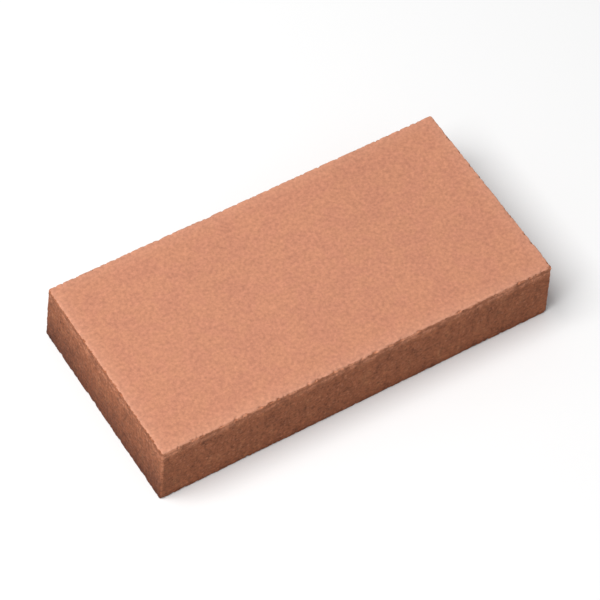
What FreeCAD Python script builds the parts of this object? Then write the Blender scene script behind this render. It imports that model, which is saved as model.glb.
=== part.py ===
"""Rectangular concrete floor tile, pressed in a mould as one solid piece.

It lies on its bed face with the wearing face up. The origin is the centre of the bed face, +X runs
along the length, +Y across the width and +Z up through the thickness. Each side leans in from the
bed to the wearing face: that is the draft which lets the tile leave its mould, and it keeps the
joint between two neighbours open at the top. All sizes are in millimetres.
"""

import FreeCAD, Part
import os

# Driving dimensions
length = 300.0  # over the bed, along X
width = 150.0  # over the bed, along Y
thickness = 50.0  # from the bed up to the wearing face
side_draft = 1.5  # how far each side leans in over the thickness
corner_radius = 2.0  # the four upright corners
arris_radius = 1.5  # the eased edge around the wearing face
bed_edge_radius = 1.0  # the edge around the bed

PARTS_FOLDER = "parts"
LEVEL_TOLERANCE = 1e-6  # two heights closer than this are the same level


def leaning_bar(span, place, run):
    """A bar as wide as span, whose two sides lean in; place turns (across, up) into a point."""
    base = span / 2
    top = base - side_draft
    outline = [(-base, 0), (base, 0), (top, thickness), (-top, thickness)]
    points = [place(across, up) for across, up in outline]
    return Part.Face(Part.makePolygon(points + points[:1])).extrude(run)


def bar_along_x():
    """The two long sides, at their full length."""
    run = FreeCAD.Vector(length, 0, 0)
    return leaning_bar(width, lambda across, up: FreeCAD.Vector(-length / 2, across, up), run)


def bar_along_y():
    """The two short ends, at their full width."""
    run = FreeCAD.Vector(0, width, 0)
    return leaning_bar(length, lambda across, up: FreeCAD.Vector(across, -width / 2, up), run)


def is_level(edge):
    heights = [vertex.Point.z for vertex in edge.Vertexes]
    return max(heights) - min(heights) < LEVEL_TOLERANCE


def upright_edges(solid):
    """The edges that run up the corners."""
    return [edge for edge in solid.Edges if not is_level(edge)]


def edges_at(solid, level):
    """The edges that lie level at that height."""
    return [
        edge
        for edge in solid.Edges
        if is_level(edge) and abs(edge.Vertexes[0].Point.z - level) < LEVEL_TOLERANCE
    ]


def floor_tile():
    """What both bars share, with its upright corners rounded, and then the arris and the bed edge."""
    tile = bar_along_x().common(bar_along_y())
    tile = tile.makeFillet(corner_radius, upright_edges(tile))
    tile = tile.makeFillet(arris_radius, edges_at(tile, thickness))
    tile = tile.makeFillet(bed_edge_radius, edges_at(tile, 0))
    return tile


def save(shape, node):
    """Writes one sub-part's STEP file, after a test that it is one sound solid."""
    if len(shape.Solids) != 1 or not shape.isValid():
        raise RuntimeError(f"{node} isn't one valid solid")
    solid = shape.Solids[0]
    solid.exportStep(os.path.join(PARTS_FOLDER, f"{node}.step"))
    box = solid.optimalBoundingBox(False, False)
    size = " x ".join(f"{side:.2f}" for side in (box.XLength, box.YLength, box.ZLength))
    print(f"{node}: {size} mm, {solid.Volume / 1000:.1f} cm3")


os.makedirs(PARTS_FOLDER, exist_ok=True)
save(floor_tile(), "floor_tile")
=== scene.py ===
"""A rectangular concrete floor tile, lying on its bed on a pale studio floor.

Metres throughout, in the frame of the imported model: the origin is the centre of the bed face, +X runs
along the length, +Y across the width and +Z up through the thickness.
"""

import math

import bpy
from mathutils import Matrix, Vector


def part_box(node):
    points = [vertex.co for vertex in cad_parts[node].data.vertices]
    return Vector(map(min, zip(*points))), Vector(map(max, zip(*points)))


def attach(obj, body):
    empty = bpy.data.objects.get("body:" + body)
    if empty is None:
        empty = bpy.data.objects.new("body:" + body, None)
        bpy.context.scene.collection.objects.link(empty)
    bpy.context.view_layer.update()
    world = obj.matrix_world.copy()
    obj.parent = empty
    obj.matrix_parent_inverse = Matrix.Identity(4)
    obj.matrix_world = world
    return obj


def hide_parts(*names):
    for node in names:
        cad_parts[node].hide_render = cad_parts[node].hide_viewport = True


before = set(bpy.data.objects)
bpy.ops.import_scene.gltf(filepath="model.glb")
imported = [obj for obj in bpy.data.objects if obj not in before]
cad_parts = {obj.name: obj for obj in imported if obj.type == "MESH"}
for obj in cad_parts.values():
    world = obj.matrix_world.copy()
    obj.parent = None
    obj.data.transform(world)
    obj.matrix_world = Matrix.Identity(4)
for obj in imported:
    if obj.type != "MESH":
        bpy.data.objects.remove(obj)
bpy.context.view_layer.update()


# ---------------------------------------------------------------------------------------------
# The tile: one piece of through-coloured concrete, pressed in a steel mould. The wearing face is
# closed and smooth; the sides dragged along the mould as it came out, so they are open and sandy.
# It isn't fixed to anything: it lies on its bed.
# ---------------------------------------------------------------------------------------------

MM = 0.001
LOW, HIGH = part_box("floor_tile")
LENGTH, WIDTH, THICKNESS = HIGH - LOW
SIDE_DRAFT = 1.5 * MM  # how far each side leans in over the thickness
CORNER_RADIUS = 2.0 * MM  # the four upright corners
ARRIS_RADIUS = 1.5 * MM  # the eased edge round the wearing face
BED_EDGE_RADIUS = 1.0 * MM

FACES_ALONG = 396  # of the body's grid, before the flat parts are thinned out
FACES_ACROSS = 198
FACES_UP = 74
EDGE_CROWDING = 0.3  # how much closer the grid's lines stand near the edges
MOST_TRIANGLES = 190_000
HEART_DEPTH = 6 * MM  # how deep the tile's unworn heart lies
PRESSING = 7.0  # the seed: another number gives another tile off the same press


def made_node(tree, kind, inputs=None, **options):
    """Adds a node, sets its options, and gives each named input a number or a link."""
    made = tree.nodes.new(kind)
    for option, value in options.items():
        setattr(made, option, value)
    for name, value in (inputs or {}).items():
        value = getattr(value, "socket", value)
        if isinstance(value, bpy.types.NodeSocket):
            tree.links.new(value, made.inputs[name])
        else:
            made.inputs[name].default_value = value
    return made


class Term:
    """An output in a node tree that reads like a number in a sum: each step adds its own node."""

    def __init__(self, tree, socket):
        self.tree = tree
        self.socket = socket

    def step(self, operation, *others, kind="ShaderNodeMath"):
        terms = dict(enumerate((self, *others)))
        made = made_node(self.tree, kind, terms, operation=operation)
        output = "Vector" if kind == "ShaderNodeVectorMath" else "Value"
        return Term(self.tree, made.outputs[output])

    def __add__(self, other):
        return self.step("ADD", other)

    def __sub__(self, other):
        return self.step("SUBTRACT", other)

    def __rsub__(self, number):
        return self.step("MULTIPLY", -1.0).step("ADD", number)

    def __mul__(self, other):
        return self.step("MULTIPLY", other)

    def __truediv__(self, other):
        return self.step("DIVIDE", other)

    __radd__ = __add__
    __rmul__ = __mul__

    def size(self):
        return self.step("ABSOLUTE")

    def sign(self):
        return self.step("SIGN")

    def at_least(self, other):
        return self.step("MAXIMUM", other)

    def at_most(self, other):
        return self.step("MINIMUM", other)

    def over(self, other):
        return self.step("GREATER_THAN", other)

    def with_right_angle(self, other):
        """The long side of the right-angled triangle whose short sides these are."""
        return (self * self + other * other).step("SQRT")

    def rising(self, start, end):
        """0 up to start, 1 from end on, and smooth in between; start may be the larger."""
        inputs = {"Value": self, "From Min": start, "From Max": end}
        made = made_node(self.tree, "ShaderNodeMapRange", inputs, interpolation_type="SMOOTHSTEP")
        return Term(self.tree, made.outputs["Result"])

    def chosen(self, when_zero, when_one):
        """One or the other, or part of each, with this as the share of the second."""
        return when_zero + (when_one - when_zero) * self


def xyz(tree, vector):
    """A vector's three numbers."""
    parts = made_node(tree, "ShaderNodeSeparateXYZ", {0: vector}).outputs
    return [Term(tree, part) for part in parts]


def vector_of(tree, x, y, z):
    return Term(tree, made_node(tree, "ShaderNodeCombineXYZ", {"X": x, "Y": y, "Z": z}).outputs[0])


def cloud(place, grain, detail=2.0, roughness=0.5):
    """Smooth random relief from 0 to 1 about 0.5, whose humps are about one grain size apart."""
    inputs = {"Vector": place, "Scale": 1 / grain, "Detail": detail, "Roughness": roughness}
    return Term(place.tree, made_node(place.tree, "ShaderNodeTexNoise", inputs).outputs[0])


def cells(place, spacing):
    """For scattered points: how far off the nearest is, and the three random numbers that it keeps."""
    made = made_node(place.tree, "ShaderNodeTexVoronoi", {"Vector": place, "Scale": 1 / spacing})
    distance = Term(place.tree, made.outputs["Distance"]) * spacing
    return distance, xyz(place.tree, made.outputs["Color"])


def drawn_upwards(place, times):
    """The same place in a space that is so many times as tall, for marks longer than they are wide."""
    factors = Vector((1, 1, 1 / times))
    return place.step("MULTIPLY", factors, kind="ShaderNodeVectorMath")


NARROWEST_HOLE = 0.35  # as a share of the widest one
HOLE_FLOOR = 0.25  # how much of a hole's radius is its flat bottom


def holes(place, spacing, widest, share):
    """Round blowholes: 1 in the middle of a hole, 0 outside. Only a share of the points has one."""
    distance, (pick, span, _) = cells(place, spacing)
    radius = span.chosen(widest * NARROWEST_HOLE, widest)
    return distance.rising(radius, radius * HOLE_FLOOR) * pick.over(1 - share)


def number_input(tree, name, value, kind="NodeSocketFloat"):
    """A named input of the tree. Returns the setting that its modifier is to get."""
    return tree.interface.new_socket(name, in_out="INPUT", socket_type=kind).identifier, value


def crowded(place, crowding):
    """Moves evenly spaced grid lines from -1 to 1 closer together towards both ends."""
    return place * (1 + crowding * (1 - place * place))


# The relief: how far apart its humps are
OUT_OF_TRUE_GRAIN = 70 * MM  # the slow waver of a pressed face
LUMP_GRAIN = 9 * MM
DRAG_GRAIN = 3.2 * MM  # the marks that the mould's wall leaves on a side
DRAG_LENGTH = 4.0  # how many times as long as wide those marks are
SAND_GRAIN = 2.6 * MM
STONE_SPACING = 2.4 * MM  # the coarsest grains
NIBBLE_GRAIN = 3.0 * MM  # single grains gone from an edge
CHIP_GRAIN = 11 * MM  # larger breaks, with a rough floor
CHIP_FLOOR_GRAIN = 4 * MM

# How deep each part of it goes
WAVER_DEPTH = 0.6 * MM
SIDE_DEPTHS = {"drag": 0.18 * MM, "sand": 0.40 * MM, "lumps": 0.25 * MM, "stones": 0.30 * MM}
SIDE_CLOSED = 0.45 * MM  # what the mould's wall has pressed flat again
BED_DEPTHS = {"sand": 0.70 * MM, "lumps": 0.50 * MM, "stones": 0.35 * MM}
BED_CLOSED = 0.72 * MM
FACE_SAND_DEPTH = 0.05 * MM
BLOWHOLE_DEPTH = 0.8 * MM
PINHOLE_DEPTH = 0.3 * MM
ARRIS_NIBBLE_DEPTH = 1.25 * MM
EDGE_NIBBLE_DEPTH = 0.6 * MM  # on the upright corners and the bed edge
CHIP_DEPTH = 0.9 * MM
CORNER_WEAR = 0.5  # of the bed edge's


def tile_tree(material):
    """The rule of the tile's shape: a block that leans in, rounded, then worn and pitted inwards."""
    tree = bpy.data.node_groups.new("pressed_tile", "GeometryNodeTree")
    tree.interface.new_socket("Geometry", in_out="OUTPUT", socket_type="NodeSocketGeometry")
    settings = dict(
        [
            number_input(tree, "Length", LENGTH),
            number_input(tree, "Width", WIDTH),
            number_input(tree, "Thickness", THICKNESS),
            number_input(tree, "Side draft", SIDE_DRAFT),
            number_input(tree, "Corner radius", CORNER_RADIUS),
            number_input(tree, "Arris radius", ARRIS_RADIUS),
            number_input(tree, "Bed edge radius", BED_EDGE_RADIUS),
            number_input(tree, "Edge crowding", EDGE_CROWDING),
            number_input(tree, "Faces along", FACES_ALONG, "NodeSocketInt"),
            number_input(tree, "Faces across", FACES_ACROSS, "NodeSocketInt"),
            number_input(tree, "Faces up", FACES_UP, "NodeSocketInt"),
            number_input(tree, "Pressing", PRESSING),
        ]
    )
    given = made_node(tree, "NodeGroupInput").outputs

    def named(name):
        return Term(tree, given[name])

    block = made_node(
        tree,
        "GeometryNodeMeshCube",
        {
            "Size": (2, 2, 2),
            "Vertices X": named("Faces along") + 1,
            "Vertices Y": named("Faces across") + 1,
            "Vertices Z": named("Faces up") + 1,
        },
    ).outputs["Mesh"]
    shape = {"geometry": block}

    def keep(name, value):
        """Writes a number on every point, for the later steps and for the material."""
        inputs = {"Geometry": shape["geometry"], "Name": name, "Value": value}
        made = made_node(tree, "GeometryNodeStoreNamedAttribute", inputs, domain="POINT")
        shape["geometry"] = made.outputs["Geometry"]

    def kept(name):
        made = made_node(tree, "GeometryNodeInputNamedAttribute", {"Name": name})
        return Term(tree, made.outputs["Attribute"])

    def place_of_points():
        return Term(tree, made_node(tree, "GeometryNodeInputPosition").outputs[0])

    # The sharp block, with x, y and z of each point
    u, v, w = xyz(tree, place_of_points())
    x = crowded(u, named("Edge crowding")) * (named("Length") * 0.5)
    y = crowded(v, named("Edge crowding")) * (named("Width") * 0.5)
    z = (crowded(w, named("Edge crowding")) + 1) * (named("Thickness") * 0.5)
    corner = named("Corner radius")
    straight_x = named("Length") * 0.5 - corner  # the corners' upright centre lines
    straight_y = named("Width") * 0.5 - corner
    past_x = x.size() - straight_x
    past_y = y.size() - straight_y
    outwards = past_x.at_least(past_y) / corner  # 1 on the outline, and squares round the corners

    # In plan: those squares become arcs, and the sides lean in with the height
    lean = named("Side draft") * (z / named("Thickness"))
    inset = corner * (1 - outwards)
    turn_x = past_x.at_least(0.0)
    turn_y = past_y.at_least(0.0)
    reach = turn_x.with_right_angle(turn_y)

    # In height: the arris and the bed's edge become quarter rounds
    upper = w.over(0.0)
    from_level = upper.chosen(z, named("Thickness") - z)
    round_here = upper.chosen(named("Bed edge radius"), named("Arris radius"))
    inward = (round_here - inset).at_least(0.0)
    upward = (round_here - from_level).at_least(0.0)
    shrink = round_here / inward.with_right_angle(upward)
    rounded_inset = inset + inward * (1 - shrink)
    rounded_level = from_level + upward * (1 - shrink)
    new_radius = corner - rounded_inset
    leaning_x = x.size().at_most(straight_x) * (1 - lean / straight_x)
    leaning_y = y.size().at_most(straight_y) * (1 - lean / straight_y)
    new_x = x.sign() * (leaning_x + new_radius * (turn_x / reach))
    new_y = y.sign() * (leaning_y + new_radius * (turn_y / reach))
    new_z = upper.chosen(rounded_level, named("Thickness") - rounded_level)

    keep("from_top_edge", inset.at_least(named("Thickness") - z))
    keep("from_bed_edge", inset.at_least(z))
    keep("from_upright_edge", (0 - past_x.at_most(past_y)) + corner)
    rounded = made_node(
        tree,
        "GeometryNodeSetPosition",
        {"Geometry": shape["geometry"], "Position": vector_of(tree, new_x, new_y, new_z)},
    )
    shape["geometry"] = rounded.outputs["Geometry"]

    # The relief only goes inwards. The sides are open and dragged, the wearing face is nearly closed
    outward_normal = made_node(tree, "GeometryNodeInputNormal").outputs[0]
    facing_up = xyz(tree, outward_normal)[2]
    keep("facing_up", facing_up)
    on_side = facing_up.size().rising(0.9, 0.45)
    on_bed = facing_up.rising(-0.5, -0.9)
    on_top = facing_up.rising(0.6, 0.97)

    seed_step = vector_of(tree, named("Pressing"), named("Pressing") * 1.7, named("Pressing") * 2.3)
    place = place_of_points().step("ADD", seed_step, kind="ShaderNodeVectorMath")
    out_of_true = cloud(place, OUT_OF_TRUE_GRAIN, detail=1.0)
    drag = cloud(drawn_upwards(place, DRAG_LENGTH), DRAG_GRAIN)
    sand = cloud(place, SAND_GRAIN, detail=3.0, roughness=0.6)
    stone_distance, (stone_size, _, _) = cells(place, STONE_SPACING)
    stones = stone_distance.rising(1.3 * MM, 0.3 * MM) * stone_size
    lumps = cloud(place, LUMP_GRAIN)
    sideways = vector_of(tree, sand * 3 * MM, lumps * 3 * MM, 0.0)  # so that no hole is quite round
    warped = place.step("ADD", sideways, kind="ShaderNodeVectorMath")
    blowholes = holes(warped, spacing=6.0 * MM, widest=1.2 * MM, share=0.4)
    pinholes = holes(warped, spacing=11 * MM, widest=0.8 * MM, share=0.22)

    # Along the arris and the corners single grains have broken out, a few of them larger
    near_arris = kept("from_top_edge").rising(2.6 * MM, 0.2 * MM)
    near_corner = kept("from_upright_edge").rising(3.5 * MM, 0.5 * MM) * on_side
    near_bed_edge = kept("from_bed_edge").rising(3.0 * MM, 0.2 * MM)
    nibbled = cloud(place, NIBBLE_GRAIN, roughness=0.6).rising(0.46, 0.70)
    chipped = cloud(place, CHIP_GRAIN, detail=1.0).rising(0.6, 0.72)
    chipped = chipped * cloud(place, CHIP_FLOOR_GRAIN).rising(0.4, 0.6)

    side_relief = (
        drag * SIDE_DEPTHS["drag"]
        + sand * SIDE_DEPTHS["sand"]
        + lumps * SIDE_DEPTHS["lumps"]
        + (1 - stones) * SIDE_DEPTHS["stones"]
    )
    bed_relief = (
        sand * BED_DEPTHS["sand"] + lumps * BED_DEPTHS["lumps"] + (1 - stones) * BED_DEPTHS["stones"]
    )
    on_open_concrete = (on_side + on_bed).at_most(1.0)
    depth = (
        (out_of_true - 0.4).at_least(0.0) * WAVER_DEPTH
        + on_side * (side_relief - SIDE_CLOSED).at_least(0.0)
        + on_bed * (bed_relief - BED_CLOSED).at_least(0.0)
        + on_open_concrete * blowholes * BLOWHOLE_DEPTH
        + on_top * (sand * FACE_SAND_DEPTH + pinholes * PINHOLE_DEPTH)
        + near_arris * (nibbled * ARRIS_NIBBLE_DEPTH + chipped * CHIP_DEPTH)
        + (near_corner * CORNER_WEAR + near_bed_edge) * (nibbled * EDGE_NIBBLE_DEPTH + chipped * CHIP_DEPTH)
    )
    near_any_edge = (near_arris + near_corner + near_bed_edge).at_most(1.0)
    keep("broken_out", near_any_edge * nibbled.at_least(chipped))
    keep("blowhole", on_open_concrete * blowholes)
    keep("on_end", xyz(tree, outward_normal)[0].size().rising(0.5, 0.9))

    # Everything is pushed towards the tile's heart, so that no round is turned inside out
    across_x, across_y, up_z = xyz(tree, place_of_points())
    half_sizes = [named("Length") * 0.5, named("Width") * 0.5, named("Thickness") * 0.5]
    off_middle = [across_x, across_y, up_z - half_sizes[2]]
    to_heart = [
        off.sign() * off.size().at_most(half_size - HEART_DEPTH) - off
        for off, half_size in zip(off_middle, half_sizes)
    ]
    inwards = vector_of(tree, *to_heart).step("NORMALIZE", kind="ShaderNodeVectorMath")
    wear = inwards.step("MULTIPLY", vector_of(tree, depth, depth, depth), kind="ShaderNodeVectorMath")
    worn = made_node(tree, "GeometryNodeSetPosition", {"Geometry": shape["geometry"], "Offset": wear})

    smooth = made_node(tree, "GeometryNodeSetShadeSmooth", {"Geometry": worn.outputs["Geometry"]})
    single = made_node(tree, "GeometryNodeRealizeInstances", {"Geometry": smooth.outputs["Geometry"]})
    finished = made_node(
        tree, "GeometryNodeSetMaterial", {"Geometry": single.outputs["Geometry"], "Material": material}
    )
    made_node(tree, "NodeGroupOutput", {"Geometry": finished.outputs["Geometry"]})
    return tree, settings


def mixed_colour(tree, share, first, second, blend="MIX"):
    """Two colours mixed, with the share of the second."""
    inputs = {"Factor": share, "A": first, "B": second}
    made = tree.nodes.new("ShaderNodeMix")
    made.data_type = "RGBA"
    made.blend_type = blend
    for socket in made.inputs:
        if socket.name not in inputs or not socket.enabled:
            continue
        value = getattr(inputs[socket.name], "socket", inputs[socket.name])
        if isinstance(value, bpy.types.NodeSocket):
            tree.links.new(value, socket)
        else:
            socket.default_value = value
    return next(socket for socket in made.outputs if socket.enabled)


FACE_ROSY = (0.570, 0.238, 0.144, 1.0)  # the closed skin of the wearing face
FACE_SANDY = (0.562, 0.243, 0.138, 1.0)
PALE_RIM_AND_ARRIS_HIGHLIGHT = (0.650, 0.307, 0.198, 1.0)  # a paler band towards the face's edges, and a painted highlight on the rounded arris
# The three side colours are darker than the face partly as the concrete's own colour and partly as painted
# shade
SIDE_BROWN = (0.289, 0.096, 0.043, 1.0)  # the open concrete of the sides
SIDE_DARK = (0.183, 0.056, 0.024, 1.0)
SIDE_OCHRE = (0.408, 0.166, 0.076, 1.0)
FRESH_GRAIN_AND_HIGHLIGHT = (0.635, 0.265, 0.150, 1.0)  # sand grains laid bare; also the painted highlights on the sides' upper band and the upright corners
PAINTED_SHADE_TINT = (0.455, 0.375, 0.320, 1.0)  # the tint that painted shade leaves of a colour


def through_coloured_concrete():
    """Red-pigmented concrete: a pale peach skin above, browner sandy sides darkened partly as painted
    shade, nibbled edges with painted highlights, and painted shade at the foot.
    """
    material = bpy.data.materials.new("through_coloured_concrete")
    material.use_nodes = True
    tree = material.node_tree
    tree.nodes.clear()

    def kept(name):
        made = made_node(tree, "ShaderNodeAttribute", attribute_name=name)
        return Term(tree, made.outputs["Fac"])

    place = Term(tree, made_node(tree, "ShaderNodeTexCoord").outputs["Object"])
    grit = cloud(place, 1.1 * MM, roughness=0.6)
    sand = cloud(place, 2.4 * MM, detail=3.0, roughness=0.6)
    mottle = cloud(place, 17 * MM, detail=3.0, roughness=0.55)
    shade = cloud(place, 60 * MM)
    drag = cloud(drawn_upwards(place, 3.5), 3.0 * MM, detail=3.0, roughness=0.6)
    patches = cloud(drawn_upwards(place, 1.6), 8 * MM, detail=4.0, roughness=0.65)
    _, (grain_tone, _, _) = cells(place, 1.5 * MM)

    def lit(colour, *tones):
        """The colour made lighter and darker by each tone about its middle, as strongly as its share."""
        light = 1 + (tones[0][0] - 0.5) * tones[0][1]
        for tone, strength in tones[1:]:
            light = light + (tone - 0.5) * strength
        return mixed_colour(tree, 1.0, colour, vector_of(tree, light, light, light), "MULTIPLY")

    # The wearing face: two near tones in soft clouds, with fine sand just showing
    face = mixed_colour(tree, mottle.rising(0.38, 0.62) * 0.7, FACE_ROSY, FACE_SANDY)
    from_arris = kept("from_top_edge")
    # A pale band up to 14 mm in from the edge, and a painted highlight within 3 mm where the rounded arris
    # catches the light
    pale_rim_and_arris_highlight = from_arris.rising(14 * MM, 0.0) * 0.35 + from_arris.rising(3 * MM, 1 * MM) * 0.3
    face = mixed_colour(tree, pale_rim_and_arris_highlight, face, PALE_RIM_AND_ARRIS_HIGHLIGHT)
    face = lit(face, (grit, 0.2), (sand, 0.72), (mottle, 0.15), (shade, 0.08), (grain_tone, 0.07))

    # The sides: brown with darker and ochre patches, drag marks from the mould, bare grains, a lighter
    # upper band that is partly painted highlight, and a painted shadow under the arris
    side = mixed_colour(tree, patches.rising(0.44, 0.28), SIDE_BROWN, SIDE_DARK)
    side = mixed_colour(tree, patches.rising(0.52, 0.72) * 0.5, side, SIDE_OCHRE)
    on_end = kept("on_end")
    # A lighter band under the arris: bare grains, and partly a painted highlight where the upper side
    # catches the light
    upper_band_and_highlight = on_end.chosen(from_arris.rising(10 * MM, 0.0), from_arris.rising(13 * MM, 5.5 * MM))
    beads = cloud(place, 6.5 * MM, detail=1.0).rising(0.42, 0.58).chosen(0.5, 1.4)
    side = mixed_colour(tree, upper_band_and_highlight * beads * on_end.chosen(0.68, 0.2), side, FRESH_GRAIN_AND_HIGHLIGHT)
    side = lit(side, (shade, 0.3), (drag, 0.6), (sand, 0.9), (grit, 0.7), (grain_tone, 0.4))
    distance, (pick, _, _) = cells(place, 2.8 * MM)
    bare = distance.rising(1.2 * MM, 0.7 * MM) * pick.over(0.66)
    side = mixed_colour(tree, bare * upper_band_and_highlight.chosen(0.22, 0.6), side, FRESH_GRAIN_AND_HIGHLIGHT)
    # A painted shadow: a thin dark line on the side just below the arris
    painted_shadow_under_arris = from_arris.rising(1.2 * MM, 2.4 * MM) * from_arris.rising(4.5 * MM, 2.8 * MM)
    side = mixed_colour(tree, painted_shadow_under_arris * 0.35, side, SIDE_DARK)

    # A painted highlight runs down the upright corners, strongest near the top; painted shade darkens the
    # sides along the foot and the ends from near the top down
    from_bed = kept("from_bed_edge")
    # The painted highlight on the upright corners, fading out towards the bed
    painted_corner_highlight = kept("from_upright_edge").rising(2.6 * MM, 0.6 * MM) * sand.rising(0.36, 0.60)
    painted_corner_highlight = painted_corner_highlight * from_bed.rising(4 * MM, 34 * MM) * 0.5
    side = mixed_colour(tree, painted_corner_highlight, side, FRESH_GRAIN_AND_HIGHLIGHT)
    # Painted shade: a dark band along the bed edge, and on the ends a darkening from near the top down to
    # the bed
    painted_foot_shade = from_bed.rising(6 * MM, 0.5 * MM) * 0.38 + on_end * from_bed.rising(42 * MM, -4 * MM)
    side = mixed_colour(tree, painted_foot_shade.at_most(1.0), side, PAINTED_SHADE_TINT, "MULTIPLY")
    # Painted shade inside the blowholes
    side = mixed_colour(tree, kept("blowhole") * 0.35, side, SIDE_DARK)

    # The skin ends along a ragged line on the arris
    ragged = (sand - 0.5) * 0.7 + (grit - 0.5) * 0.4 - kept("broken_out") * 0.35
    skin = (kept("facing_up") + ragged).rising(0.52, 0.66)
    colour = mixed_colour(tree, skin, side, face)

    roughness = skin.chosen(0.93, 0.8) + (grit - 0.5) * 0.2
    fine = grit * 0.6 + cloud(place, 0.5 * MM, 1.0) * 0.4
    bump = made_node(
        tree,
        "ShaderNodeBump",
        {"Strength": skin.chosen(1.0, 0.35), "Distance": 0.5 * MM, "Height": fine},
    )
    surface = made_node(
        tree,
        "ShaderNodeBsdfPrincipled",
        {
            "Base Color": colour,
            "Roughness": roughness,
            "Specular IOR Level": 0.3,
            "Normal": bump.outputs["Normal"],
        },
    )
    made_node(tree, "ShaderNodeOutputMaterial", {"Surface": surface.outputs["BSDF"]})
    return material


def plain_mesh(piece, name):
    """The piece's mesh as its modifiers leave it."""
    ready = piece.evaluated_get(bpy.context.evaluated_depsgraph_get())
    mesh = bpy.data.meshes.new_from_object(ready)
    mesh.name = name
    return mesh


def pressed_tile():
    """Runs the tree, thins out the flat parts of its fine grid, and leaves a plain mesh."""
    material = through_coloured_concrete()
    tree, settings = tile_tree(material)
    piece = bpy.data.objects.new("pressed_floor_tile", bpy.data.meshes.new("start"))
    bpy.context.scene.collection.objects.link(piece)
    press = piece.modifiers.new("press", "NODES")
    press.node_group = tree
    for identifier, value in settings.items():
        press[identifier] = value
    fine_grid = 4 * (FACES_ALONG * FACES_ACROSS + (FACES_ALONG + FACES_ACROSS) * FACES_UP)
    thinning = piece.modifiers.new("thinning", "DECIMATE")
    thinning.ratio = MOST_TRIANGLES / fine_grid
    mesh = plain_mesh(piece, "pressed_floor_tile")
    piece.modifiers.clear()
    piece.data = mesh
    return piece


floor_tile = pressed_tile()
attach(floor_tile, "root")
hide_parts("floor_tile")


# ---------------------------------------------------------------------------------------------
# The studio: a pale painted floor under the tile and one large soft lamp, high up on its left, in a
# room that gives an even low light.
# ---------------------------------------------------------------------------------------------

FLOOR_SIDE = 12.0
FLOOR_WHITE = 0.93
ROOM_LIGHT = 0.34
LAMP_PLACE = (-1.2, 0.1, 2.3)
LAMP_SIDE = 1.8
LAMP_WATTS = 68.5


def studio_floor():
    mesh = bpy.data.meshes.new("studio_floor")
    half = FLOOR_SIDE / 2
    corners = [(-half, -half, 0), (half, -half, 0), (half, half, 0), (-half, half, 0)]
    mesh.from_pydata(corners, [], [(0, 1, 2, 3)])
    paint = bpy.data.materials.new("floor_paint")
    paint.use_nodes = True
    shader = paint.node_tree.nodes["Principled BSDF"]
    shader.inputs["Base Color"].default_value = (FLOOR_WHITE, FLOOR_WHITE, FLOOR_WHITE, 1)
    shader.inputs["Roughness"].default_value = 0.9
    shader.inputs["Specular IOR Level"].default_value = 0.1
    mesh.materials.append(paint)
    plane = bpy.data.objects.new("studio_floor", mesh)
    bpy.context.scene.collection.objects.link(plane)
    return plane


def soft_lamp(name, place, side, watts):
    """A square lamp that faces the tile."""
    lamp = bpy.data.lights.new(name, "AREA")
    lamp.size = side
    lamp.energy = watts
    stand = bpy.data.objects.new(name, lamp)
    stand.location = place
    stand.rotation_mode = "QUATERNION"
    stand.rotation_quaternion = (-Vector(place)).to_track_quat("-Z", "Y")
    bpy.context.scene.collection.objects.link(stand)


def room():
    world = bpy.data.worlds.new("room")
    world.use_nodes = True
    backdrop = world.node_tree.nodes["Background"]
    backdrop.inputs["Color"].default_value = (1, 1, 1, 1)
    backdrop.inputs["Strength"].default_value = ROOM_LIGHT
    bpy.context.scene.world = world


studio_floor()
soft_lamp("key", LAMP_PLACE, LAMP_SIDE, LAMP_WATTS)
room()
bpy.context.scene.view_settings.view_transform = "Standard"


# ---------------------------------------------------------------------------------------------
# The camera: a long lens that looks down on the tile from its front left corner, a little rolled.
# ---------------------------------------------------------------------------------------------

CAMERA_AZIMUTH = math.radians(-36.5)  # 0 looks along +Y
CAMERA_ELEVATION = math.radians(54.3)
CAMERA_ROLL = math.radians(5.8)
CAMERA_DISTANCE = 7.05 * LENGTH
LENS = 193.0  # millimetres, on a 36 mm sensor


def camera():
    centre = (LOW + HIGH) / 2
    away = Vector(
        (
            math.sin(CAMERA_AZIMUTH) * math.cos(CAMERA_ELEVATION),
            -math.cos(CAMERA_AZIMUTH) * math.cos(CAMERA_ELEVATION),
            math.sin(CAMERA_ELEVATION),
        )
    )
    level = Vector((0, 0, 1)).cross(away).normalized()
    upright = away.cross(level)
    right = level * math.cos(CAMERA_ROLL) + upright * math.sin(CAMERA_ROLL)
    data = bpy.data.cameras.new("camera")
    data.lens = LENS
    body = bpy.data.objects.new("camera", data)
    turn = Matrix((right, away.cross(right), away)).transposed().to_4x4()
    body.matrix_world = Matrix.Translation(centre + away * CAMERA_DISTANCE) @ turn
    bpy.context.scene.collection.objects.link(body)
    bpy.context.scene.camera = body


camera()

bpy.context.view_layer.update()
